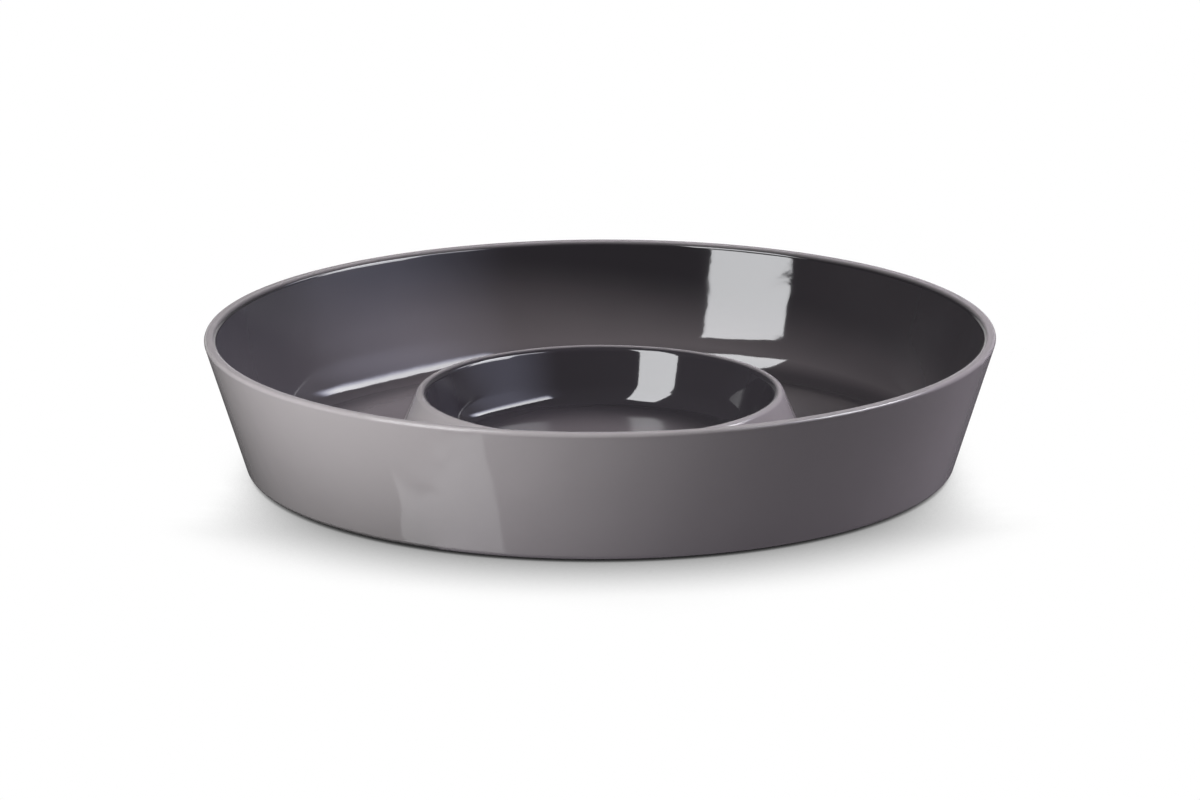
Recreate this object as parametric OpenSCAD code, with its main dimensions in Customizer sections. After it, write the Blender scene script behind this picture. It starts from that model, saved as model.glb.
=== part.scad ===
// Round stoneware serving platter with a dip well in the middle.
// A flared outer wall stands around a flat tray, and a lower bowl rises from the centre.
// Four clay pieces carry the shape and five glaze coats cover them, meeting face to face.
// Millimetres, +Z up, origin on the table at the centre of the foot ring.

/* [Dish] */
// Diameter across the widest part of the rim
rim_d = 320; // [300:1:340]
// Height of the rim above the table
height = 56; // [48:0.5:66]
// Diameter at which the line of the outer wall meets the table
base_d = 286; // [278:1:304]
// Thickness of the outer wall at the rim measured level, both coats included
wall_t = 5.2; // [5:0.1:6.4]
// Lean of the outer wall's inside from upright, in degrees
inner_lean = 17.1; // [14:0.1:20]
// Radius on the outer edge of the rim
rim_outer_round = 1.4; // [1:0.1:1.6]
// Radius on the inner edge of the rim
rim_inner_round = 2.8; // [2:0.1:3.2]
// Radius where the outer wall turns under the dish
edge_round = 3; // [2:0.1:5]
// Height of the tray floor above the table
tray_floor = 5; // [4.5:0.1:8]
// Radius at the foot of the outer wall's inside
tray_upper_fillet = 40; // [14:1:44]
// Tighter radius at the edge of the tray floor
tray_lower_fillet = 6; // [3:0.5:8]

/* [Dip well] */
// Diameter of the crest of the dip bowl
crest_d = 145.6; // [120:0.2:170]
// Height of the crest above the table
crest_h = 31.2; // [26:0.2:44]
// Radius on the outer edge of the crest
crest_outer_round = 2.2; // [1:0.1:2.5]
// Radius on the inner edge of the crest
crest_inner_round = 3; // [2:0.1:4]
// Lean of the bowl's outside from upright, in degrees
outside_draft = 23; // [10:1:30]
// Lean of the bowl's inside from upright, in degrees
inside_draft = 18; // [10:0.5:22]
// Radius between the bowl's outside and the tray floor
foot_fillet = 4; // [2:0.5:6]
// Height of the well floor above the table
well_floor = 8.7; // [7:0.1:12]
// Radius at the foot of the bowl's inside
well_upper_fillet = 20; // [8:1:24]
// Tighter radius at the edge of the well floor
well_lower_fillet = 4; // [2:0.5:6]

/* [Fillets] */
// Lean from upright at which an upper fillet runs into a lower one, in degrees
fillet_turn = 38; // [30:1:60]

/* [Foot] */
// Outer diameter of the foot ring
foot_d = 262; // [230:1:266]
// Width of the foot ring
foot_w = 8; // [5:0.5:14]
// Height that the foot ring lifts the dish
foot_h = 1; // [0.6:0.1:1.6]
// Radius on the lower edges of the foot ring
foot_round = 0.4; // [0.2:0.1:0.5]

/* [Glaze] */
// Thickness of every glaze coat
glaze_t = 0.5; // [0.3:0.05:0.7]

/* [Hidden] */
$fn = 180;

// Steps along each round stretch of an outline
arc_steps = 12;
// Depth of the seat that the dip bowl is luted into
seat_depth = 0.8;
// Level land left beyond a fillet where two clay pieces meet
joint_land = 1;

clay_color = "#c9bba8";
outside_color = "#938b8f";
tray_color = "#4f4b4e";
well_color = "#454246";
underside_color = "#8a8286";

// Outer wall: a straight line from the base circle, tangent to the rim's outer round
base_r = base_d / 2;
rim_outer_c = [rim_d / 2 - rim_outer_round, height - rim_outer_round];
rim_run = rim_outer_c - [base_r, 0];
wall_slope = atan2(rim_run[1], rim_run[0]) - asin(rim_outer_round / norm(rim_run));
flare = 90 - wall_slope;
edge_c = [
    base_r + (foot_h + edge_round) * tan(flare) - edge_round / cos(flare),
    foot_h + edge_round
];

// Inside of the outer wall: measured down from the rim at its own lean
function inner_wall_r(z) = base_r + height * tan(flare) - wall_t - (height - z) * tan(inner_lean);
rim_inner_c = [
    inner_wall_r(height - rim_inner_round) + rim_inner_round / cos(inner_lean),
    height - rim_inner_round
];

// Both fillets run from a wide arc down the wall into a tighter arc along the floor
turn_way = [cos(fillet_turn), -sin(fillet_turn)];
function upper_fillet_z(floor_z, upper, lower) = floor_z + lower + (upper - lower) * sin(fillet_turn);
tray_upper_z = upper_fillet_z(tray_floor, tray_upper_fillet, tray_lower_fillet);
tray_upper_c = [inner_wall_r(tray_upper_z) - tray_upper_fillet / cos(inner_lean), tray_upper_z];
tray_lower_c = tray_upper_c + (tray_upper_fillet - tray_lower_fillet) * turn_way;

// Dip bowl: both faces leave the crest's two rounds at a tangent
crest_outer_c = [crest_d / 2, crest_h - crest_outer_round];
crest_inner_c = [crest_d / 2, crest_h - crest_inner_round];
function bowl_outside_r(z) =
    crest_outer_c[0] + crest_outer_round / cos(outside_draft) + (crest_outer_c[1] - z) * tan(outside_draft);
function bowl_inside_r(z) =
    crest_inner_c[0] - crest_inner_round / cos(inside_draft) - (crest_inner_c[1] - z) * tan(inside_draft);
foot_fillet_c = [
    bowl_outside_r(tray_floor + foot_fillet) + foot_fillet / cos(outside_draft),
    tray_floor + foot_fillet
];
well_upper_z = upper_fillet_z(well_floor, well_upper_fillet, well_lower_fillet);
well_upper_c = [
    bowl_inside_r(well_upper_z) - well_upper_fillet / cos(inside_draft),
    well_upper_z
];
well_lower_c = well_upper_c + (well_upper_fillet - well_lower_fillet) * turn_way;

// Where the clay pieces meet
foot_r = foot_d / 2;
foot_inner_r = foot_r - foot_w;
clay_bottom = foot_h + glaze_t;
clay_tray = tray_floor - glaze_t;
seat_z = clay_tray - seat_depth;
seat_r = foot_fillet_c[0] + joint_land;
wall_joint_r = tray_lower_c[0] - joint_land;

function reversed(points) = [for (i = [len(points) - 1 : -1 : 0]) points[i]];
function after_first(points) = [for (i = [1 : len(points) - 1]) points[i]];

function arc(centre, radius, from, to) = [
    for (i = [0 : arc_steps])
        let (a = from + (to - from) * i / arc_steps)
            centre + radius * [cos(a), sin(a)]
];

// Each outline lies at a depth below the finished surface: 0 is the glaze, glaze_t the clay
function outside_line(depth) = concat(
    [[foot_r, foot_h + depth]],
    arc(edge_c, edge_round - depth, -90, -flare),
    arc(rim_outer_c, rim_outer_round - depth, -flare, 90),
    arc(rim_inner_c, rim_inner_round - depth, 90, 180 - inner_lean)
);

function tray_line(depth) = concat(
    [rim_inner_c + (rim_inner_round - depth) * [-cos(inner_lean), sin(inner_lean)]],
    arc(tray_upper_c, tray_upper_fillet + depth, -inner_lean, -fillet_turn),
    after_first(arc(tray_lower_c, tray_lower_fillet + depth, -fillet_turn, -90)),
    [[foot_fillet_c[0], tray_floor - depth]]
);

function dip_ring_line(depth) = concat(
    arc(foot_fillet_c, foot_fillet + depth, -90, outside_draft - 180),
    arc(crest_outer_c, crest_outer_round - depth, outside_draft, 90),
    after_first(arc(crest_inner_c, crest_inner_round - depth, 90, 180 - inside_draft))
);

function dip_well_line(depth) = concat(
    [crest_inner_c + (crest_inner_round - depth) * [-cos(inside_draft), sin(inside_draft)]],
    arc(well_upper_c, well_upper_fillet + depth, -inside_draft, -fillet_turn),
    after_first(arc(well_lower_c, well_lower_fillet + depth, -fillet_turn, -90)),
    [[0, well_floor - depth]]
);

function underside_line(depth) = [[0, foot_h + depth], [foot_inner_r, foot_h + depth]];

// A coat lies between the finished surface and the clay below it
module coat(surface, clay) {
    rotate_extrude() polygon(concat(surface, reversed(clay)));
}

module base_disc() {
    color(clay_color)
        rotate_extrude()
            polygon([
                [0, clay_bottom],
                [wall_joint_r, clay_bottom],
                [wall_joint_r, clay_tray],
                [seat_r, clay_tray],
                [seat_r, seat_z],
                [0, seat_z]
            ]);
}

module outer_wall() {
    inside = [for (p = tray_line(glaze_t)) if (p[0] > wall_joint_r) p];
    outside = [for (p = outside_line(glaze_t)) if (p[0] > wall_joint_r) p];
    color(clay_color)
        rotate_extrude()
            polygon(concat(
                [[wall_joint_r, clay_bottom]],
                outside,
                after_first(inside),
                [[wall_joint_r, clay_tray]]
            ));
}

module dip_bowl() {
    color(clay_color)
        rotate_extrude()
            polygon(concat(
                [[0, seat_z], [seat_r, seat_z], [seat_r, clay_tray]],
                dip_ring_line(glaze_t),
                after_first(dip_well_line(glaze_t))
            ));
}

module foot_ring() {
    color(clay_color)
        rotate_extrude()
            polygon(concat(
                [[foot_inner_r, clay_bottom]],
                arc([foot_inner_r + foot_round, foot_round], foot_round, 180, 270),
                arc([foot_r - foot_round, foot_round], foot_round, -90, 0),
                [[foot_r, clay_bottom]]
            ));
}

module outside_glaze() {
    color(outside_color) coat(outside_line(0), outside_line(glaze_t));
}

module tray_glaze() {
    color(tray_color) coat(tray_line(0), tray_line(glaze_t));
}

module dip_ring_glaze() {
    color(outside_color) coat(dip_ring_line(0), dip_ring_line(glaze_t));
}

module dip_well_glaze() {
    color(well_color) coat(dip_well_line(0), dip_well_line(glaze_t));
}

module underside_glaze() {
    color(underside_color) coat(underside_line(0), underside_line(glaze_t));
}

base_disc();
outer_wall();
dip_bowl();
foot_ring();
outside_glaze();
tray_glaze();
dip_ring_glaze();
dip_well_glaze();
underside_glaze();
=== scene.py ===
"""Dresses a glazed stoneware chip and dip platter and sets it in a small studio."""

import math

import bmesh
import bpy
from bpy.props import FloatProperty, FloatVectorProperty, IntProperty, PointerProperty
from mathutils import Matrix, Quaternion, Vector, noise


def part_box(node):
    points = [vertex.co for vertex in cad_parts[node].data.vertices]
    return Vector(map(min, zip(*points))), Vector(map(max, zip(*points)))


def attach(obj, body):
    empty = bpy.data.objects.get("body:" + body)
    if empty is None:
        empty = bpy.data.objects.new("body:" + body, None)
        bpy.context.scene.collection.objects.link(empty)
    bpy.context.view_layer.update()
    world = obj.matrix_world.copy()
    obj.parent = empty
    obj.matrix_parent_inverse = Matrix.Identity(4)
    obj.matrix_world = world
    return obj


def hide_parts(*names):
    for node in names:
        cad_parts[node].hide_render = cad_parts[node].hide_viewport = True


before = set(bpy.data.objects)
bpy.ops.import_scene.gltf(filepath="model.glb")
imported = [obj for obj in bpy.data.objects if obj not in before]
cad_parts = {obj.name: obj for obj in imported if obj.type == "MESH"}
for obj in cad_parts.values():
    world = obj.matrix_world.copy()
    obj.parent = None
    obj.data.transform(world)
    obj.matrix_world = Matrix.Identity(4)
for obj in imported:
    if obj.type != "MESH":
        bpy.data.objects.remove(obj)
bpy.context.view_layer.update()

bl_info = {
    "name": "Chip and Dip Platter",
    "version": (1, 0, 0),
    "blender": (4, 5, 0),
    "location": "View3D > Sidebar > Platter",
    "description": "Turns the glaze coats of a stoneware platter and lights them in a studio",
    "category": "Object",
}

MM = 0.001
BODY = "root"

OUTSIDE_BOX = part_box("outside_glaze")
TRAY_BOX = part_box("tray_glaze")
RING_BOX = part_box("dip_ring_glaze")
WELL_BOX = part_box("dip_well_glaze")
UNDERSIDE_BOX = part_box("underside_glaze")
FOOT_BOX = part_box("foot_ring")
GLAZE_T = UNDERSIDE_BOX[1].z - UNDERSIDE_BOX[0].z
CLAY_NODES = ("base_disc", "outer_wall", "dip_bowl", "foot_ring")


def length(name, default, description):
    """A length in metres that the sidebar shows in the scene's units."""
    return FloatProperty(
        name=name, description=description, default=default,
        min=0, subtype="DISTANCE", unit="LENGTH", precision=5,
    )


def angle(name, degrees, description):
    """An angle that the sidebar shows in degrees."""
    return FloatProperty(
        name=name, description=description, default=math.radians(degrees),
        subtype="ANGLE", unit="ROTATION",
    )


def colour(name, default, description):
    """A linear colour."""
    return FloatVectorProperty(
        name=name, description=description, default=default,
        size=3, min=0, max=1, subtype="COLOR",
    )


class PlatterSizes(bpy.types.PropertyGroup):
    """Sizes of the finished surface, the frame's own where the frame gives them."""

    rim_r: length("Rim radius", OUTSIDE_BOX[1].y, "Radius of the widest part of the rim")
    height: length("Height", OUTSIDE_BOX[1].z, "Height of the rim above the table")
    base_r: length("Base radius", 143 * MM, "Radius at which the wall's line meets the table")
    wall_t: length("Wall thickness", 5.2 * MM, "Thickness of the outer wall at the rim, measured level")
    inner_lean: angle("Inner lean", 17.1, "Lean of the outer wall's inside")
    rim_outer_round: length("Rim outer round", 1.4 * MM, "Radius on the outer edge of the rim")
    rim_inner_round: length("Rim inner round", 2.8 * MM, "Radius on the inner edge of the rim")
    edge_round: length("Edge round", 3 * MM, "Radius where the wall turns under the dish")
    tray_floor: length("Tray floor", TRAY_BOX[0].z + GLAZE_T, "Height of the tray floor")
    tray_upper_fillet: length("Tray upper fillet", 40 * MM, "Radius at the foot of the outer wall")
    tray_lower_fillet: length("Tray lower fillet", 6 * MM, "Radius at the edge of the tray floor")
    crest_r: length("Crest radius", 72.8 * MM, "Radius of the circle along the dip bowl's crest")
    crest_h: length("Crest height", RING_BOX[1].z, "Height of the dip bowl's crest")
    crest_outer_round: length("Crest outer round", 2.2 * MM, "Radius on the crest's outer edge")
    crest_inner_round: length("Crest inner round", 3 * MM, "Radius on the crest's inner edge")
    outside_draft: angle("Outside draft", 23, "Lean of the dip bowl's outside")
    inside_draft: angle("Inside draft", 18, "Lean of the dip bowl's inside")
    foot_fillet: length("Foot fillet", 4 * MM, "Radius between dip bowl and tray floor")
    well_floor: length("Well floor", WELL_BOX[0].z + GLAZE_T, "Height of the dip well's floor")
    well_upper_fillet: length("Well upper fillet", 20 * MM, "Radius at the foot of the well wall")
    well_lower_fillet: length("Well lower fillet", 4 * MM, "Radius at the edge of the well floor")
    fillet_turn: angle("Fillet turn", 38, "Lean at which the upper fillet runs into the lower one")
    foot_r: length("Foot radius", FOOT_BOX[1].y, "Outer radius of the bare foot ring")
    foot_inner_r: length("Foot inner radius", UNDERSIDE_BOX[1].y, "Inner radius of the foot ring")
    foot_h: length("Foot height", OUTSIDE_BOX[0].z, "Height that the foot ring lifts the dish")
    glaze_t: length("Glaze thickness", GLAZE_T, "Thickness of each glaze coat")
    ripple: length("Ripple", 0.03 * MM, "Depth of the soft ripple in the glaze")
    ripple_size: length("Ripple size", 18 * MM, "Width of one soft ripple")
    segments: IntProperty(name="Segments", description="Facets round the dish", default=320, min=48)


class PlatterColours(bpy.types.PropertyGroup):
    """Colours of the glazes and the clay, with painted shade in the tray's side and pool colours."""

    outside: colour("Outside", (0.300, 0.281, 0.287), "Pale glaze on the outside and the rims")
    thin_edge: colour("Thin edge", (0.296, 0.278, 0.285), "Glaze where it thins over an edge")
    tray_upper: colour("Tray upper", (0.020, 0.018, 0.021), "Inside of the wall, below the rim")
    tray_lower: colour("Tray lower", (0.105, 0.093, 0.099), "Lower part of the wall's inside")
    # Painted shade with a cool tint of reflected light, for the wall's left end
    tray_left_shade: colour("Tray side", (0.049, 0.047, 0.054), "Glaze on the wall at the left end")
    tray_middle: colour("Tray middle", (0.135, 0.120, 0.127), "Glaze on the tray floor")
    # Pooled glaze at the wall's foot, also painted shade there and at the tray's right end
    tray_pool_and_shade: colour("Tray pool", (0.035, 0.031, 0.035), "Thick glaze along the foot of the wall")
    well_upper: colour("Well upper", (0.030, 0.027, 0.032), "Wall of the dip well")
    well_lower: colour("Well lower", (0.112, 0.100, 0.107), "Middle of the dip well's floor")
    clay: colour("Clay", (0.58, 0.50, 0.40), "Bare fired clay")
    floor: colour("Floor", (1.0, 1.0, 1.0), "Studio floor")


def dish_sizes():
    """The sizes that the scene holds."""
    return bpy.context.scene.platter_sizes


def dish_colours():
    """The colours that the scene holds."""
    return bpy.context.scene.platter_colours


# Outlines of the finished surface, as (radius, height, outward normal's radius and height)

ARC_STEP = math.radians(3)
MIN_ARC_STEPS = 6
ROW_STEP = 3 * MM
SAME_POINT = 1e-7
UP = math.pi / 2
DOWN = -math.pi / 2


def rounded(centre, radius, start, end, side):
    """Points along an arc, with normals pointing out of it (side 1) or into it (side -1)."""
    steps = max(MIN_ARC_STEPS, math.ceil(abs(end - start) / ARC_STEP))
    points = []
    for i in range(steps + 1):
        a = start + (end - start) * i / steps
        points.append((
            centre[0] + radius * math.cos(a),
            centre[1] + radius * math.sin(a),
            side * math.cos(a),
            side * math.sin(a),
        ))
    return points


def outline(*runs):
    """Joins arcs and single points by straight stretches of short rows."""
    points = list(runs[0])
    for run in runs[1:]:
        a, b = points[-1], run[0]
        gap = math.dist(a[:2], b[:2])
        rows = math.ceil(gap / ROW_STEP)
        for i in range(1, rows):
            t = i / rows
            points.append(tuple(a[k] + (b[k] - a[k]) * t for k in range(4)))
        points.extend(run if gap > SAME_POINT else run[1:])
    return points


def wall_flare(s):
    """Lean of the outer wall from upright: tangent to the rim's outer round."""
    run = Vector((s.rim_r - s.rim_outer_round - s.base_r, s.height - s.rim_outer_round))
    slope = math.atan2(run.y, run.x) - math.asin(s.rim_outer_round / run.length)
    return math.pi / 2 - slope


def outside_outline(s):
    """From the foot ring up the outside and over the rim."""
    flare = wall_flare(s)
    edge_z = s.foot_h + s.edge_round
    edge = (s.base_r + edge_z * math.tan(flare) - s.edge_round / math.cos(flare), edge_z)
    outer = (s.rim_r - s.rim_outer_round, s.height - s.rim_outer_round)
    return outline(
        [(s.foot_r, s.foot_h, 0, -1)],
        rounded(edge, s.edge_round, DOWN, -flare, 1),
        rounded(outer, s.rim_outer_round, -flare, UP, 1),
        rim_inside(s),
    )


def inner_wall_r(s, z):
    """Radius of the outer wall's inside at a height, along its straight stretch."""
    top = s.base_r + s.height * math.tan(wall_flare(s)) - s.wall_t
    return top - (s.height - z) * math.tan(s.inner_lean)


def rim_inside(s):
    """The inner edge of the rim."""
    z = s.height - s.rim_inner_round
    centre = (inner_wall_r(s, z) + s.rim_inner_round / math.cos(s.inner_lean), z)
    return rounded(centre, s.rim_inner_round, UP, math.pi - s.inner_lean, 1)


def two_arc_fillet(wall_r, lean, floor_z, upper, lower, turn):
    """A wide arc down the wall that runs into a tighter one along the floor."""
    step = upper - lower
    upper_z = floor_z + lower + step * math.sin(turn)
    upper_r = wall_r(upper_z) - upper / math.cos(lean)
    lower_centre = (upper_r + step * math.cos(turn), floor_z + lower)
    return (
        rounded((upper_r, upper_z), upper, -lean, -turn, -1)
        + rounded(lower_centre, lower, -turn, DOWN, -1)[1:]
    )


def tray_outline(s):
    """From the rim down the inside of the wall and in along the tray floor."""
    fillet = two_arc_fillet(
        lambda z: inner_wall_r(s, z), s.inner_lean,
        s.tray_floor, s.tray_upper_fillet, s.tray_lower_fillet, s.fillet_turn,
    )
    return outline(rim_inside(s)[-1:], fillet, [(foot_fillet_centre(s)[0], s.tray_floor, 0, 1)])


def foot_fillet_centre(s):
    """Centre of the fillet between the dip bowl's outside and the tray floor."""
    z = s.tray_floor + s.foot_fillet
    crest_z = s.crest_h - s.crest_outer_round
    wall_r = (
        s.crest_r
        + s.crest_outer_round / math.cos(s.outside_draft)
        + (crest_z - z) * math.tan(s.outside_draft)
    )
    return wall_r + s.foot_fillet / math.cos(s.outside_draft), z


def crest_inside(s):
    """The inner edge of the dip bowl's crest."""
    centre = (s.crest_r, s.crest_h - s.crest_inner_round)
    return rounded(centre, s.crest_inner_round, UP, math.pi - s.inside_draft, 1)


def dip_ring_outline(s):
    """From the tray floor up the outside of the dip bowl and over its crest."""
    crest = (s.crest_r, s.crest_h - s.crest_outer_round)
    return outline(
        rounded(foot_fillet_centre(s), s.foot_fillet, DOWN, s.outside_draft - math.pi, -1),
        rounded(crest, s.crest_outer_round, s.outside_draft, UP, 1),
        crest_inside(s),
    )


def well_wall_r(s, z):
    """Radius of the dip bowl's inside at a height, along its straight stretch."""
    crest_z = s.crest_h - s.crest_inner_round
    return (
        s.crest_r
        - s.crest_inner_round / math.cos(s.inside_draft)
        - (crest_z - z) * math.tan(s.inside_draft)
    )


def dip_well_outline(s):
    """From the crest down the inside of the dip bowl and in to its middle."""
    fillet = two_arc_fillet(
        lambda z: well_wall_r(s, z), s.inside_draft,
        s.well_floor, s.well_upper_fillet, s.well_lower_fillet, s.fillet_turn,
    )
    return outline(crest_inside(s)[-1:], fillet, [(0, s.well_floor, 0, 1)])


def underside_outline(s):
    """From the middle of the underside out to the foot ring."""
    return outline([(0, s.foot_h, 0, -1)], [(s.foot_inner_r, s.foot_h, 0, -1)])


# Turning an outline into a closed coat

AXIS_R = 1e-6
SHARP = math.radians(40)


def ripple_at(point, s):
    """Soft ripple of the glaze, inwards only and the same on both sides of every seam."""
    return s.ripple * (noise.noise(point / s.ripple_size) - 1)


def ring(bm, r, z, nr, nz, s, rippled):
    """One ring of vertices round the axis, or a single one on it."""
    if r < AXIS_R:
        return [bm.verts.new((0, 0, z))]
    verts = []
    for i in range(s.segments):
        turn = 2 * math.pi * i / s.segments
        out = Vector((math.cos(turn), math.sin(turn), 0))
        point = out * r + Vector((0, 0, z))
        if rippled:
            point += (out * nr + Vector((0, 0, nz))) * ripple_at(point, s)
        verts.append(bm.verts.new(point))
    return verts


def band(bm, lower, upper):
    """Faces between two neighbouring rings."""
    n = max(len(lower), len(upper))
    if n == 1:
        return
    for i in range(n):
        j = (i + 1) % n
        corners = [
            lower[i % len(lower)], lower[j % len(lower)],
            upper[j % len(upper)], upper[i % len(upper)],
        ]
        bm.faces.new(dict.fromkeys(corners))


def turned_coat(name, node, points, material):
    """A closed glaze coat turned from an outline, in place of its CAD node."""
    s = dish_sizes()
    bm = bmesh.new()
    rings = [ring(bm, *p, s, True) for p in points]
    under = [(p[0] - s.glaze_t * p[2], p[1] - s.glaze_t * p[3], p[2], p[3]) for p in points]
    rings += [ring(bm, *p, s, False) for p in reversed(under)]
    for lower, upper in zip(rings, rings[1:] + rings[:1]):
        band(bm, lower, upper)
    bmesh.ops.recalc_face_normals(bm, faces=bm.faces)
    for face in bm.faces:
        face.smooth = True
    for edge in bm.edges:
        edge.smooth = len(edge.link_faces) == 2 and edge.calc_face_angle() < SHARP
    mesh = bpy.data.meshes.new(name)
    bm.to_mesh(mesh)
    bm.free()
    piece = bpy.data.objects.new(name, mesh)
    bpy.context.scene.collection.objects.link(piece)
    mesh.materials.append(material)
    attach(piece, BODY)
    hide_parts(node)
    return piece


# Shader building blocks

class Tree:
    """Short calls for adding and linking nodes in one node tree."""

    def __init__(self, tree):
        self.tree = tree

    def add(self, kind, inputs=None, **settings):
        """A new node with its settings, and its inputs set or linked."""
        node = self.tree.nodes.new(kind)
        for key, value in settings.items():
            setattr(node, key, value)
        for key, value in (inputs or {}).items():
            self.put(node.inputs[key], value)
        return node

    def put(self, socket, value):
        """Links a socket to an output, or sets its value."""
        if isinstance(value, bpy.types.NodeSocket):
            self.tree.links.new(value, socket)
        elif isinstance(value, (tuple, list)) and len(value) == 3 and socket.type == "RGBA":
            socket.default_value = (*value, 1)
        else:
            socket.default_value = value

    def math(self, operation, a, b=0.0, c=0.0, clamp=False):
        """One step of arithmetic."""
        node = self.add("ShaderNodeMath", {0: a, 1: b, 2: c}, operation=operation, use_clamp=clamp)
        return node.outputs[0]

    def mix(self, factor, a, b, blend="MIX"):
        """Colour a at factor 0, going over to b at factor 1."""
        node = self.add("ShaderNodeMix", data_type="RGBA", blend_type=blend)
        self.put(node.inputs[0], factor)
        self.put(node.inputs[6], a)
        self.put(node.inputs[7], b)
        return node.outputs[2]

    def span(self, value, low, high, smooth=True):
        """A mask that is 0 where the value is low and 1 where it is high."""
        kind = "SMOOTHSTEP" if smooth else "LINEAR"
        node = self.add("ShaderNodeMapRange", interpolation_type=kind)
        for key, v in (("Value", value), ("From Min", low), ("From Max", high)):
            self.put(node.inputs[key], v)
        return node.outputs[0]

    def noise(self, vector, scale, detail=2.0, roughness=0.5):
        """Noise from 0 to 1, its scale in lumps to the metre."""
        values = {"Vector": vector, "Scale": scale, "Detail": detail, "Roughness": roughness}
        return self.add("ShaderNodeTexNoise", values).outputs["Fac"]

    def group(self, tree, **values):
        """Places a node group, whose inputs the keywords name."""
        node = self.add("ShaderNodeGroup", node_tree=tree)
        for key, value in values.items():
            self.put(node.inputs[key.replace("_", " ").capitalize()], value)
        return node.outputs

    def place(self):
        """The point on the object."""
        return self.add("ShaderNodeTexCoord").outputs["Object"]

    def axes(self, vector):
        """A vector's X, Y and Z."""
        return self.add("ShaderNodeSeparateXYZ", {"Vector": vector}).outputs

    def radius(self, axes):
        """How far a point lies from the dish's axis."""
        level = self.add("ShaderNodeCombineXYZ", {"X": axes["X"], "Y": axes["Y"]}).outputs[0]
        return self.add("ShaderNodeVectorMath", {0: level}, operation="LENGTH").outputs["Value"]


SOCKETS = {float: "NodeSocketFloat", tuple: "NodeSocketColor"}


def node_group(name, inputs, outputs):
    """A new shader node group with named sockets, whose defaults say their kind."""
    tree = bpy.data.node_groups.new(name, "ShaderNodeTree")
    for key, default in inputs.items():
        socket = tree.interface.new_socket(key, in_out="INPUT", socket_type=SOCKETS[type(default)])
        socket.default_value = (*default, 1) if isinstance(default, tuple) else default
    for key, kind in outputs.items():
        tree.interface.new_socket(key, in_out="OUTPUT", socket_type=SOCKETS[kind])
    build = Tree(tree)
    source = build.add("NodeGroupInput").outputs
    sink = build.add("NodeGroupOutput").inputs
    return build, source, sink


# Lumps to the metre of each noise in the glaze
DRIFT_SCALE = 22.0
CLOUD_SCALE = 35.0
WAVE_SCALE = 55.0
SMEAR_SCALE = 60.0
PEEL_SCALE = 160.0
NOISE_MEAN = 0.5
# Roughness that the strongest smear adds
SMEAR_DEPTH = 0.03
# Where the duller glaze starts and where it is full, across the dish and upwards
LEFT_SATIN = (-10 * MM, -60 * MM)
RIGHT_SATIN = (85 * MM, 115 * MM)
SATIN_RISE = 6 * MM


def shade_by_height():
    """Group: fades one glaze colour into another with height, along a drifting line."""
    name = "Shade by height"
    if name in bpy.data.node_groups:
        return bpy.data.node_groups[name]
    build, source, sink = node_group(
        name,
        {
            "Upper": (0.1, 0.1, 0.1), "Lower": (0.2, 0.2, 0.2),
            "Top": 0.05, "Bottom": 0.01, "Drift": 0.0, "Slant": 0.0,
        },
        {"Colour": tuple},
    )
    place = build.place()
    axes = build.axes(place)
    drift = build.math("SUBTRACT", build.noise(place, DRIFT_SCALE), NOISE_MEAN)
    height = build.math("MULTIPLY_ADD", axes["X"], source["Slant"], axes["Z"])
    height = build.math("MULTIPLY_ADD", drift, source["Drift"], height)
    fade = build.span(height, source["Bottom"], source["Top"])
    build.put(sink["Colour"], build.mix(fade, source["Lower"], source["Upper"]))
    return build.tree


def glaze_surface():
    """Group: cloudy tone, uneven roughness and the waves and orange peel of a fired glaze."""
    name = "Glaze surface"
    if name in bpy.data.node_groups:
        return bpy.data.node_groups[name]
    build, source, sink = node_group(
        name,
        {
            "Colour": (0.2, 0.2, 0.2), "Cloud": 0.06, "Gloss": 0.035,
            "Wave": 0.0, "Satin": 0.0, "Satin from": 0.0,
        },
        {"Colour": tuple, "Roughness": float, "Height": float},
    )
    place = build.place()
    axes = build.axes(place)
    cloud = build.noise(place, CLOUD_SCALE, detail=4.0, roughness=0.6)
    cloud = build.math("SUBTRACT", cloud, NOISE_MEAN)
    tone = build.math("MULTIPLY_ADD", cloud, source["Cloud"], 1.0)
    tint = build.add("ShaderNodeCombineColor", {"Red": tone, "Green": tone, "Blue": tone}).outputs[0]
    build.put(sink["Colour"], build.mix(1.0, source["Colour"], tint, "MULTIPLY"))
    smear = build.noise(place, SMEAR_SCALE, detail=3.0)
    gloss = build.math("MULTIPLY_ADD", smear, SMEAR_DEPTH, source["Gloss"])
    left = build.span(axes["X"], *LEFT_SATIN)
    right = build.span(axes["X"], *RIGHT_SATIN)
    satin_full = build.math("ADD", source["Satin from"], SATIN_RISE)
    above = build.span(axes["Z"], source["Satin from"], satin_full)
    dull = build.math("MULTIPLY", build.math("ADD", left, right), above)
    build.put(sink["Roughness"], build.math("MULTIPLY_ADD", dull, source["Satin"], gloss))
    peel = build.noise(place, PEEL_SCALE)
    waves = build.noise(place, WAVE_SCALE, detail=1.0)
    build.put(sink["Height"], build.math("MULTIPLY_ADD", waves, source["Wave"], peel))
    return build.tree


def inner_edge():
    """Group: mask of the dark glaze that comes up over the inner edge of a rim."""
    name = "Inner edge"
    if name in bpy.data.node_groups:
        return bpy.data.node_groups[name]
    build, source, sink = node_group(
        name,
        {"Foot radius": 0.1, "Lean": 0.3, "Dark": 0.0, "Pale": 0.0015},
        {"Mask": float},
    )
    axes = build.axes(build.place())
    wall_r = build.math("MULTIPLY_ADD", axes["Z"], source["Lean"], source["Foot radius"])
    depth = build.math("SUBTRACT", build.radius(axes), wall_r)
    build.put(sink["Mask"], build.span(depth, source["Pale"], source["Dark"], smooth=False))
    return build.tree


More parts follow.
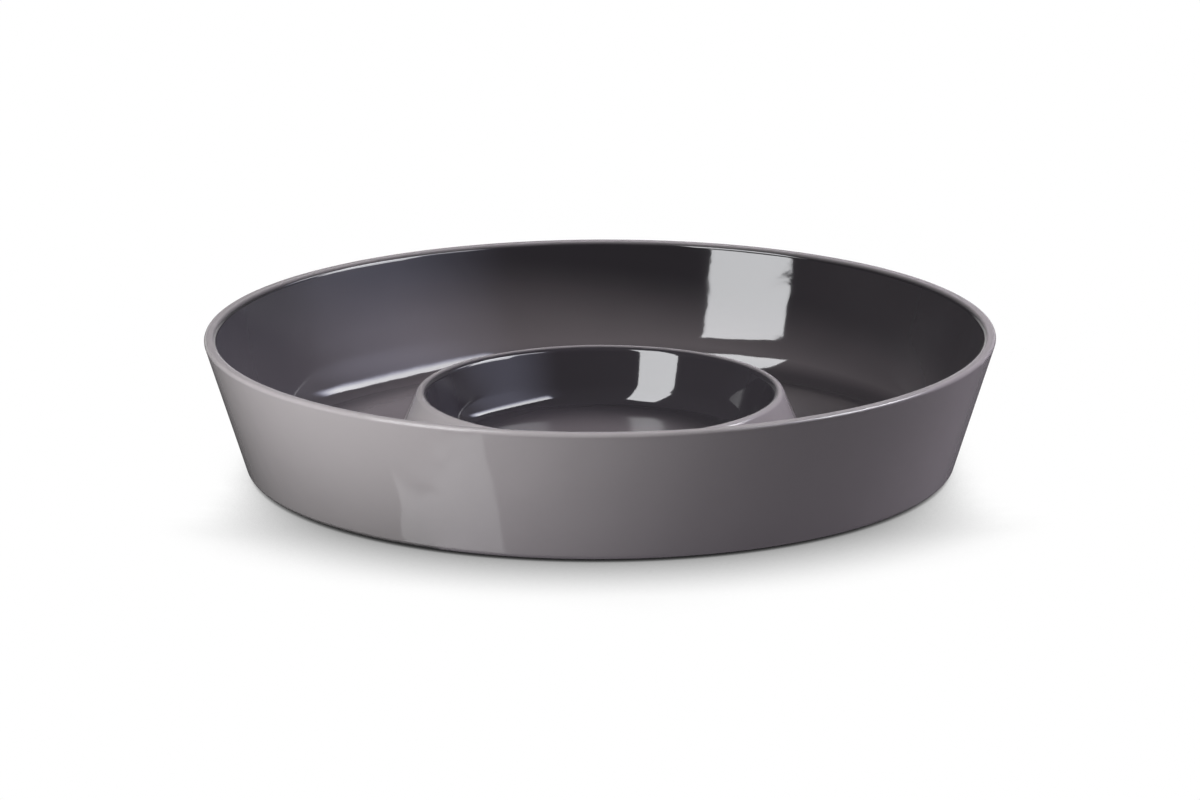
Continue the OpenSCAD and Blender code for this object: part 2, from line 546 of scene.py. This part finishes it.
def new_material(name):
    """An empty node material, and the calls that fill it."""
    material = bpy.data.materials.new(name)
    material.use_nodes = True
    material.node_tree.nodes.clear()
    return material, Tree(material.node_tree)


GLAZE_IOR = 1.52
PEEL_STRENGTH = 0.09
PEEL_DEPTH = 0.2 * MM


def glaze_material(name, tone, haze=0.0, wave=0.0, satin=0.0, satin_from=0.0):
    """A glossy glaze over the colour from tone(build); haze dulls it where another glaze mirrors it."""
    material, build = new_material(name)
    skin = build.group(
        glaze_surface(), colour=tone(build), wave=wave, satin=satin, satin_from=satin_from,
    )
    bump = build.add("ShaderNodeBump", {
        "Strength": PEEL_STRENGTH, "Distance": PEEL_DEPTH, "Height": skin["Height"],
    })
    in_reflection = build.add("ShaderNodeLightPath").outputs["Is Glossy Ray"]
    shader = build.add("ShaderNodeBsdfPrincipled", {
        "Base Color": skin["Colour"],
        "Roughness": build.math("MULTIPLY_ADD", in_reflection, haze, skin["Roughness"]),
        "IOR": GLAZE_IOR,
        "Normal": bump.outputs[0],
    })
    build.add("ShaderNodeOutputMaterial", {"Surface": shader.outputs[0]})
    return material


PALE_WAVE = 10.0
THIN_EDGE_DEPTH = 4 * MM


def pale_glaze(name, dark_tone, crest, foot_radius, lean, pale, dark):
    """The pale glaze, with the dark one that meets it on the inner edge of the rim."""
    c = dish_colours()

    def tone(build):
        pale_tone = build.group(
            shade_by_height(), upper=tuple(c.thin_edge), lower=tuple(c.outside),
            top=crest, bottom=crest - THIN_EDGE_DEPTH,
        )["Colour"]
        edge = build.group(
            inner_edge(), foot_radius=foot_radius, lean=math.tan(lean), pale=pale, dark=dark,
        )["Mask"]
        return build.mix(edge, pale_tone, tuple(dark_tone))

    return glaze_material(name, tone, wave=PALE_WAVE)


def outside_glaze():
    """Pale glaze of the outside, dark on the rim's inner edge."""
    c, s = dish_colours(), dish_sizes()
    return pale_glaze(
        "outside_glaze", c.tray_upper, s.height, inner_wall_r(s, 0), s.inner_lean,
        pale=1.5 * MM, dark=0.1 * MM,
    )


def dip_ring_glaze():
    """Pale glaze of the dip ring, dark on its crest's inner edge."""
    c, s = dish_colours(), dish_sizes()
    return pale_glaze(
        "dip_ring_glaze", c.well_upper, s.crest_h, well_wall_r(s, 0), s.inside_draft,
        pale=2 * MM, dark=0.6 * MM,
    )


SATIN = 0.17
TRAY_HAZE = 0.4
TRAY_WAVE = 9.0
# Heights of the tray's shading: down from the rim, or up from the floor
TRAY_DARK_TO = 8 * MM
TRAY_PALE_FROM = 6 * MM
TRAY_DRIFT = 6 * MM
# Tilt of the tray's fade line across the dish: painted shade that darkens the right side and lightens
# the left
TRAY_SHADE_SLANT = 0.1
TRAY_SATIN_FROM = 9 * MM
# Where each mask of the tray starts and where it is full, across the dish: the painted shade at the left
# end, the painted shade at the right end, and the pool's painted shade, which grows towards the right
LEFT_SHADE = (-60 * MM, -145 * MM)
RIGHT_SHADE = (30 * MM, 130 * MM)
POOL_SHADE_ACROSS = (-50 * MM, 80 * MM)
# The same, up from the tray floor and outwards from the floor's edge
POOL_UP = (11 * MM, 2 * MM)
POOL_OUT = (-10 * MM, 1 * MM)
MIDDLE_OUT = (-3 * MM, -20 * MM)
# Strength of the painted shade at the left end and at the right end, and of the pool at the left side
LEFT_SHADE_SHARE = 0.8
RIGHT_SHADE_SHARE = 0.5
POOL_SHADE_LEFT_SHARE = 0.5
FLAT = 0.1 * MM


def tray_glaze():
    """Charcoal below the rim, mid grey on the floor, dark where it pools at the wall's foot, with
    painted shade: darker and cooler at the left end, darker at the right end and along the foot towards
    the right, and a fade line tilted across the dish.
    """
    c, s = dish_colours(), dish_sizes()
    floor_z = s.tray_floor
    floor_r = max(p[0] for p in tray_outline(s) if p[1] < floor_z + FLAT)

    def tone(build):
        axes = build.axes(build.place())
        radius = build.radius(axes)
        wall = build.group(
            shade_by_height(), upper=tuple(c.tray_upper), lower=tuple(c.tray_lower),
            top=s.height - TRAY_DARK_TO, bottom=floor_z + TRAY_PALE_FROM,
            drift=TRAY_DRIFT, slant=TRAY_SHADE_SLANT,
        )["Colour"]
        # Painted shade with a cool tint at the wall's left end
        left = build.math("MULTIPLY", build.span(axes["X"], *LEFT_SHADE), LEFT_SHADE_SHARE)
        wall = build.mix(left, wall, tuple(c.tray_left_shade))
        middle = build.span(radius, *(floor_r + d for d in MIDDLE_OUT))
        wall = build.mix(middle, wall, tuple(c.tray_middle))
        # Pooled glaze along the wall's foot, with painted shade that deepens it towards the right
        low = build.span(axes["Z"], *(floor_z + d for d in POOL_UP))
        out = build.span(radius, *(floor_r + d for d in POOL_OUT))
        across = build.span(axes["X"], *POOL_SHADE_ACROSS)
        share = build.math("MULTIPLY_ADD", across, 1 - POOL_SHADE_LEFT_SHARE, POOL_SHADE_LEFT_SHARE)
        pool_and_shade = build.math("MULTIPLY", build.math("MULTIPLY", low, out), share)
        # Painted shade at the tray's right end, in the pool colour
        right = build.math("MULTIPLY", build.span(axes["X"], *RIGHT_SHADE), RIGHT_SHADE_SHARE)
        return build.mix(build.math("MAXIMUM", pool_and_shade, right), wall, tuple(c.tray_pool_and_shade))

    return glaze_material(
        "tray_glaze", tone, haze=TRAY_HAZE, wave=TRAY_WAVE,
        satin=SATIN, satin_from=floor_z + TRAY_SATIN_FROM,
    )


WELL_HAZE = 0.1
WELL_SATIN_FROM = 5 * MM
# Radii of the well's floor: mid grey within the first, charcoal from the second
WELL_FADE = (20 * MM, 62 * MM)


def well_glaze():
    """Charcoal on the well's wall, mid grey in the middle of its floor."""
    c, s = dish_colours(), dish_sizes()

    def tone(build):
        radius = build.radius(build.axes(build.place()))
        fade = build.span(radius, *WELL_FADE)
        return build.mix(fade, tuple(c.well_lower), tuple(c.well_upper))

    return glaze_material(
        "well_glaze", tone, haze=WELL_HAZE, satin=SATIN, satin_from=s.well_floor + WELL_SATIN_FROM,
    )


GRAIN_SCALE = 900.0
GRAIN_RANGE = (0.3, 0.7)
GRAIN_SHADE = 0.72
GRAIN_STRENGTH = 0.35
GRAIN_DEPTH = 0.3 * MM
CLAY_ROUGHNESS = 0.85


def bare_stoneware():
    """Matt fired clay with a sandy grain."""
    material, build = new_material("bare_stoneware")
    grain = build.noise(build.place(), GRAIN_SCALE, detail=3.0, roughness=0.7)
    clay = tuple(dish_colours().clay)
    dark = tuple(v * GRAIN_SHADE for v in clay)
    bump = build.add("ShaderNodeBump", {
        "Strength": GRAIN_STRENGTH, "Distance": GRAIN_DEPTH, "Height": grain,
    })
    shader = build.add("ShaderNodeBsdfPrincipled", {
        "Base Color": build.mix(build.span(grain, *GRAIN_RANGE), dark, clay),
        "Roughness": CLAY_ROUGHNESS,
        "Normal": bump.outputs[0],
    })
    build.add("ShaderNodeOutputMaterial", {"Surface": shader.outputs[0]})
    return material


class PLATTER_OT_clay(bpy.types.Operator):
    """Gives the clay pieces their bare fired surface"""

    bl_idname = "platter.clay"
    bl_label = "Clay"

    def execute(self, context):
        clay = bare_stoneware()
        for name in CLAY_NODES:
            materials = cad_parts[name].data.materials
            materials.clear()
            materials.append(clay)
        return {"FINISHED"}


class PLATTER_OT_outside_glaze(bpy.types.Operator):
    """Turns the pale coat on the outside, over the rim and under the dish"""

    bl_idname = "platter.outside_glaze"
    bl_label = "Outside Glaze"

    def execute(self, context):
        s = dish_sizes()
        glaze = outside_glaze()
        turned_coat("outside_coat", "outside_glaze", outside_outline(s), glaze)
        turned_coat("underside_coat", "underside_glaze", underside_outline(s), glaze)
        return {"FINISHED"}


class PLATTER_OT_tray_glaze(bpy.types.Operator):
    """Turns the coat inside the wall and over the tray floor"""

    bl_idname = "platter.tray_glaze"
    bl_label = "Tray Glaze"

    def execute(self, context):
        turned_coat("tray_coat", "tray_glaze", tray_outline(dish_sizes()), tray_glaze())
        return {"FINISHED"}


class PLATTER_OT_dip_glaze(bpy.types.Operator):
    """Turns the coats outside and inside the dip bowl"""

    bl_idname = "platter.dip_glaze"
    bl_label = "Dip Glaze"

    def execute(self, context):
        s = dish_sizes()
        ring_glaze = dip_ring_glaze()
        turned_coat("dip_ring_coat", "dip_ring_glaze", dip_ring_outline(s), ring_glaze)
        turned_coat("dip_well_coat", "dip_well_glaze", dip_well_outline(s), well_glaze())
        return {"FINISHED"}


# Studio lamps: lengths in metres, angles in degrees, and radiance, where 1 renders as white

KEY_AZIMUTH = -52
KEY_DISTANCE = 0.8
KEY_WIDTH = 0.385
PANEL_LEVEL = 11.7
KEY_LEVEL = 1.04 * PANEL_LEVEL
PANEL_TINT = (0.99, 1.0, 1.02)
WHITE = (1.0, 1.0, 1.0)
COOL = (1.0, 0.94, 1.06)
# The coats that a panel is mirrored in
TRAY = ("tray_coat", "outside_coat")
DIP = ("dip_ring_coat", "dip_well_coat")
EDGES = ("dip_ring_coat", "outside_coat")
TABLE = ("studio_floor",)
# Points on the table that panels are set out from: the dish's middle, or below a reflection
MIDDLE_SPOT = Vector((0, 0, 0))
TRAY_SPOT = Vector((59 * MM, 137 * MM, 0))
DIP_SPOT = Vector((25 * MM, 62 * MM, 0))
BOUNCE_LIFT = Vector((0, 0, 1 * MM))


def direction(azimuth, elevation):
    """Unit vector from the dish: azimuth 0 is towards the camera, 90 to the right."""
    a, e = math.radians(azimuth), math.radians(elevation)
    return Vector((math.sin(a) * math.cos(e), -math.cos(a) * math.cos(e), math.sin(e)))


def softbox(name, place, away, width, height, radiance, tint=WHITE):
    """A rectangular lamp with its back turned away, unseen by the camera."""
    lamp = bpy.data.lights.new(name, "AREA")
    lamp.shape = "RECTANGLE"
    lamp.size = width
    lamp.size_y = height
    lamp.energy = math.pi * width * height * radiance
    lamp.color = tint
    box = bpy.data.objects.new(name, lamp)
    box.location = place
    box.rotation_mode = "QUATERNION"
    box.rotation_quaternion = away.to_track_quat("Z", "Y")
    box.visible_camera = False
    bpy.context.scene.collection.objects.link(box)
    return box


def wash(name, azimuth, elevation, distance, width, height, radiance, tint=WHITE):
    """A soft lamp that lights the dish and isn't mirrored in its glaze."""
    way = direction(azimuth, elevation)
    softbox(name, way * distance, way, width, height, radiance, tint).visible_glossy = False


def bounce(name, azimuth, distance, width, depth, radiance, tint=WHITE):
    """Light that comes back from the table on one side of the dish."""
    place = direction(azimuth, 0) * distance + BOUNCE_LIFT
    panel = softbox(name, place, Vector((0, 0, -1)), width, depth, radiance, tint)
    turn = Quaternion((0, 0, 1), math.radians(azimuth))
    panel.rotation_quaternion = turn @ panel.rotation_quaternion
    panel.visible_glossy = False


def upright(name, spot, azimuth, distance, start, end, bottom, top, radiance=PANEL_LEVEL):
    """An upright panel across the line from a spot at an azimuth, from start to end towards its left."""
    away = direction(azimuth, 0)
    along = direction(azimuth - 90, 0)
    place = spot + away * distance + along * (start + end) / 2 + Vector((0, 0, (bottom + top) / 2))
    return softbox(name, place, away, end - start, top - bottom, radiance, PANEL_TINT)


def mirrored(panel, names):
    """Keeps a panel to the reflections, in the named objects alone."""
    panel.visible_diffuse = False
    shown = bpy.data.collections.new(panel.name + "_shown")
    for name in names:
        shown.objects.link(bpy.data.objects[name])
    panel.light_linking.receiver_collection = shown


def mirrored_panels():
    """The panels that the glaze mirrors, and the one that the table does."""
    way = direction(KEY_AZIMUTH, 43)
    table_panel = softbox(
        "table_panel", way * KEY_DISTANCE, way, KEY_WIDTH, height=0.17,
        radiance=PANEL_LEVEL, tint=PANEL_TINT,
    )
    mirrored(table_panel, TABLE)
    left_band = upright(
        "left_band", TRAY_SPOT, azimuth=-23, distance=0.8,
        start=0.17, end=0.87, bottom=0.77, top=1.35,
    )
    mirrored(left_band, TRAY)
    left_panel = upright(
        "left_panel", TRAY_SPOT, azimuth=-5, distance=1.5,
        start=0.892, end=2.4, bottom=0.42, top=0.848,
    )
    mirrored(left_panel, TRAY)
    dip_panel = upright(
        "dip_panel", DIP_SPOT, azimuth=-41.5, distance=1.5,
        start=-0.35, end=0.36, bottom=0.2, top=0.9,
    )
    mirrored(dip_panel, DIP)
    dip_band = upright(
        "dip_band", DIP_SPOT, azimuth=-41.5, distance=1.5,
        start=-0.35, end=0.41, bottom=0.9, top=2.35,
    )
    mirrored(dip_band, DIP)
    edge_panel = upright(
        "edge_panel", MIDDLE_SPOT, azimuth=85, distance=1.5,
        start=-0.5, end=0.5, bottom=0.55, top=1.5, radiance=9.0,
    )
    mirrored(edge_panel, EDGES)


SCRIM_AZIMUTH = 57
SCRIM_DISTANCE = 2.2
SCRIM_START = -1.12
SCRIM_END = 5.18
SCRIM_TOP = 2.58
SCRIM_LEVEL = 12.0
# Shares of the scrim's length from its front end, and of its height, where each glow starts and is full
HOT_FRONT = (0.09, 0.125)
HOT_BACK = (0.9, 0.7)
HOT_UP = (0.71, 0.91)
HOT_SHARE = 0.9
HOT_TINT = (0.99, 1.0, 1.03)
SPILL_FRONT = (-0.02, 0.3)
SPILL_BACK = (0.25, 0.75)
SPILL_BACK_LOSS = 0.9
SPILL_UP = (0.06, 0.34)
SPILL_SHARE = 0.102
SPILL_TINT = (0.93, 0.96, 1.28)


def right_scrim():
    """A long upright cloth from the front right to the back right, seen only in reflections."""
    near = direction(SCRIM_AZIMUTH, 0)
    along = direction(SCRIM_AZIMUTH + 90, 0)
    middle = along * (SCRIM_START + SCRIM_END) / 2 + Vector((0, 0, SCRIM_TOP / 2))
    place = near * SCRIM_DISTANCE + middle
    scrim = softbox("right_scrim", place, near, SCRIM_END - SCRIM_START, SCRIM_TOP, SCRIM_LEVEL)
    scrim.visible_diffuse = False
    scrim_glow(scrim.data)


def scrim_glow(lamp):
    """Lets a lamp glow like cloth lit from above: bright along its top, dim and cool below."""
    lamp.use_nodes = True
    lamp.node_tree.nodes.clear()
    build = Tree(lamp.node_tree)
    axes = build.axes(build.add("ShaderNodeNewGeometry").outputs["Parametric"])
    ends = build.math("MULTIPLY", build.span(axes["X"], *HOT_FRONT), build.span(axes["X"], *HOT_BACK))
    hot = build.math("MULTIPLY", build.span(axes["Y"], *HOT_UP), ends)
    front = build.span(axes["X"], *SPILL_FRONT)
    back = build.math("MULTIPLY_ADD", build.span(axes["X"], *SPILL_BACK), -SPILL_BACK_LOSS, 1.0)
    rise = build.math("MULTIPLY", build.span(axes["Y"], *SPILL_UP), SPILL_SHARE)
    spill = build.math("MULTIPLY", build.math("MULTIPLY", front, back), rise)
    glow = build.add("ShaderNodeEmission", {
        "Color": build.mix(hot, SPILL_TINT, HOT_TINT),
        "Strength": build.math("MULTIPLY_ADD", hot, HOT_SHARE, spill),
    })
    build.add("ShaderNodeOutputLight", {"Surface": glow.outputs[0]})


def studio_lamps():
    """The main lamp, what the glaze mirrors, and the soft light that fills the rest."""
    wash(
        "left_key", KEY_AZIMUTH, elevation=38, distance=KEY_DISTANCE,
        width=KEY_WIDTH, height=0.485, radiance=KEY_LEVEL,
    )
    mirrored_panels()
    right_scrim()
    wash(
        "right_wash", azimuth=116, elevation=30, distance=0.8,
        width=0.5, height=0.4, radiance=10.8, tint=COOL,
    )
    wash("top_wash", azimuth=50, elevation=70, distance=0.9, width=0.6, height=0.6, radiance=2.0)
    bounce("left_bounce", azimuth=-40, distance=0.4, width=0.42, depth=0.4, radiance=1.95)
    bounce("right_bounce", azimuth=72, distance=0.2, width=0.6, depth=0.44, radiance=0.31, tint=COOL)


# Studio floor, room and camera

FLOOR_SIDE = 12.0
TABLE_TONE = 0.06
TABLE_SHEEN = 0.1
TABLE_ROUGHNESS = 0.06
# Where the table's sheen starts and where it is full, across the dish
SHEEN_ACROSS = (60 * MM, 0.0)
# The dish's shadow: how far it reaches, which way it leans, how dark it is, and its lift beside the dish
SHADOW_REACH = 150 * MM
SHADOW_LEAN = (0.0, 0.45, 0.9)
SHADOW_POWER = 1.3
SHADOW_LIFT = 1.24
SHADOW_SIDE_LIFT = 1.0
SHADOW_SIDE = (-108 * MM, 0.0)


def studio_floor():
    """A level table that looks white with the dish's soft shadow, and throws little light back."""
    mesh = bpy.data.meshes.new("studio_floor")
    h = FLOOR_SIDE / 2
    mesh.from_pydata([(-h, -h, 0), (h, -h, 0), (h, h, 0), (-h, h, 0)], [], [(0, 1, 2, 3)])
    floor = bpy.data.objects.new("studio_floor", mesh)
    bpy.context.scene.collection.objects.link(floor)
    mesh.materials.append(floor_material())


def floor_material():
    """Bright to the camera alone; to all else a dark table with a sheen on its left."""
    material, build = new_material("studio_floor")
    material.cycles.emission_sampling = "NONE"
    tone = tuple(dish_colours().floor)
    axes = build.axes(build.place())
    matt = build.add("ShaderNodeBsdfDiffuse", {"Color": (TABLE_TONE,) * 3})
    sheen = build.add("ShaderNodeBsdfGlossy", {"Color": tone, "Roughness": TABLE_ROUGHNESS})
    polish = build.math("MULTIPLY", build.span(axes["X"], *SHEEN_ACROSS), TABLE_SHEEN)
    table = build.add("ShaderNodeMixShader", {0: polish, 1: matt.outputs[0], 2: sheen.outputs[0]})
    open_sky = build.add("ShaderNodeAmbientOcclusion", {
        "Distance": SHADOW_REACH, "Normal": SHADOW_LEAN,
    }).outputs["AO"]
    beside = build.span(axes["Y"], *SHADOW_SIDE)
    lift = build.math("MULTIPLY_ADD", beside, SHADOW_SIDE_LIFT, SHADOW_LIFT)
    shadow = build.math("POWER", build.math("MULTIPLY", open_sky, lift, clamp=True), SHADOW_POWER)
    seen = build.add("ShaderNodeEmission", {"Color": tone, "Strength": shadow})
    camera_ray = build.add("ShaderNodeLightPath").outputs["Is Camera Ray"]
    surface = build.add("ShaderNodeMixShader", {0: camera_ray, 1: table.outputs[0], 2: seen.outputs[0]})
    build.add("ShaderNodeOutputMaterial", {"Surface": surface.outputs[0]})
    return material


ROOM_LEVEL = 0.05
ROOM_GLOW = 0.15
ROOM_GLOW_WAY = (135, 5)
# Cosines from the glow's way where it starts and where it is full
ROOM_GLOW_SPREAD = (0.5, 1.0)
BACKDROP = 0.56
# Parts of a view's way, backwards and upwards, where the backdrop starts and where it is full
BACKDROP_BACK = (0.84, 0.94)
BACKDROP_UP = (0.22, 0.1)


def studio_world():
    """White where the camera looks past the floor, and dim elsewhere."""
    world = bpy.data.worlds.new("studio")
    bpy.context.scene.world = world
    world.use_nodes = True
    world.node_tree.nodes.clear()
    build = Tree(world.node_tree)
    seen = build.add("ShaderNodeLightPath").outputs["Is Camera Ray"]
    way = build.add("ShaderNodeTexCoord").outputs["Generated"]
    axes = build.axes(way)
    towards = build.add(
        "ShaderNodeVectorMath", {0: way, 1: tuple(direction(*ROOM_GLOW_WAY))}, operation="DOT_PRODUCT",
    ).outputs["Value"]
    glow = build.span(towards, *ROOM_GLOW_SPREAD)
    room = build.math("MULTIPLY_ADD", glow, ROOM_GLOW, ROOM_LEVEL)
    back = build.span(axes["Y"], *BACKDROP_BACK)
    behind = build.math("MULTIPLY", back, build.span(axes["Z"], *BACKDROP_UP))
    backdrop = build.math("MULTIPLY", behind, BACKDROP)
    strength = build.math("MAXIMUM", seen, build.math("MAXIMUM", room, backdrop))
    sky = build.add("ShaderNodeBackground", {"Color": WHITE, "Strength": strength})
    build.add("ShaderNodeOutputWorld", {"Surface": sky.outputs[0]})


IMAGE_W = 1200
SENSOR_W = 36.0
FOCAL_PX = 6150.0
CAMERA_DISTANCE = 2.496
CAMERA_ELEVATION = 14.877
CAMERA_ROLL = -0.205
CAMERA_TARGET = Vector((-0.08 * MM, 0, 26.8 * MM))
CAMERA_REACH = 100


def studio_camera():
    """A long lens at the photograph's viewing angle."""
    data = bpy.data.cameras.new("photo_camera")
    data.sensor_width = SENSOR_W
    data.sensor_fit = "HORIZONTAL"
    data.lens = FOCAL_PX / IMAGE_W * SENSOR_W
    data.clip_end = CAMERA_REACH
    camera = bpy.data.objects.new("photo_camera", data)
    back = direction(0, CAMERA_ELEVATION)
    roll = Quaternion((0, 0, 1), math.radians(CAMERA_ROLL))
    camera.location = CAMERA_TARGET + back * CAMERA_DISTANCE
    camera.rotation_mode = "QUATERNION"
    camera.rotation_quaternion = (-back).to_track_quat("-Z", "Y") @ roll
    bpy.context.scene.collection.objects.link(camera)
    bpy.context.scene.camera = camera


class PLATTER_OT_studio(bpy.types.Operator):
    """Sets the floor, the lamps and the camera round the dish"""

    bl_idname = "platter.studio"
    bl_label = "Studio"

    def execute(self, context):
        context.scene.view_settings.view_transform = "Standard"
        studio_floor()
        studio_world()
        studio_lamps()
        studio_camera()
        return {"FINISHED"}


class PLATTER_PT_panel(bpy.types.Panel):
    """Sizes, colours and steps of the platter"""

    bl_label = "Chip and Dip Platter"
    bl_idname = "PLATTER_PT_panel"
    bl_space_type = "VIEW_3D"
    bl_region_type = "UI"
    bl_category = "Platter"

    def draw(self, context):
        for step in STEPS:
            self.layout.operator(step.bl_idname)
        for group in (context.scene.platter_sizes, context.scene.platter_colours):
            column = self.layout.column()
            for key in group.__annotations__:
                column.prop(group, key)


STEPS = (
    PLATTER_OT_clay,
    PLATTER_OT_outside_glaze,
    PLATTER_OT_tray_glaze,
    PLATTER_OT_dip_glaze,
    PLATTER_OT_studio,
)
CLASSES = (PlatterSizes, PlatterColours, *STEPS, PLATTER_PT_panel)


def register():
    """Adds the classes, and gives each scene its sizes and colours."""
    for cls in CLASSES:
        bpy.utils.register_class(cls)
    bpy.types.Scene.platter_sizes = PointerProperty(type=PlatterSizes)
    bpy.types.Scene.platter_colours = PointerProperty(type=PlatterColours)


def unregister():
    """Takes away what register adds."""
    del bpy.types.Scene.platter_colours
    del bpy.types.Scene.platter_sizes
    for cls in reversed(CLASSES):
        bpy.utils.unregister_class(cls)


def main():
    """Builds the dish and its studio."""
    register()
    bpy.ops.platter.clay()
    bpy.ops.platter.outside_glaze()
    bpy.ops.platter.tray_glaze()
    bpy.ops.platter.dip_glaze()
    bpy.ops.platter.studio()


if __name__ == "__main__":
    main()
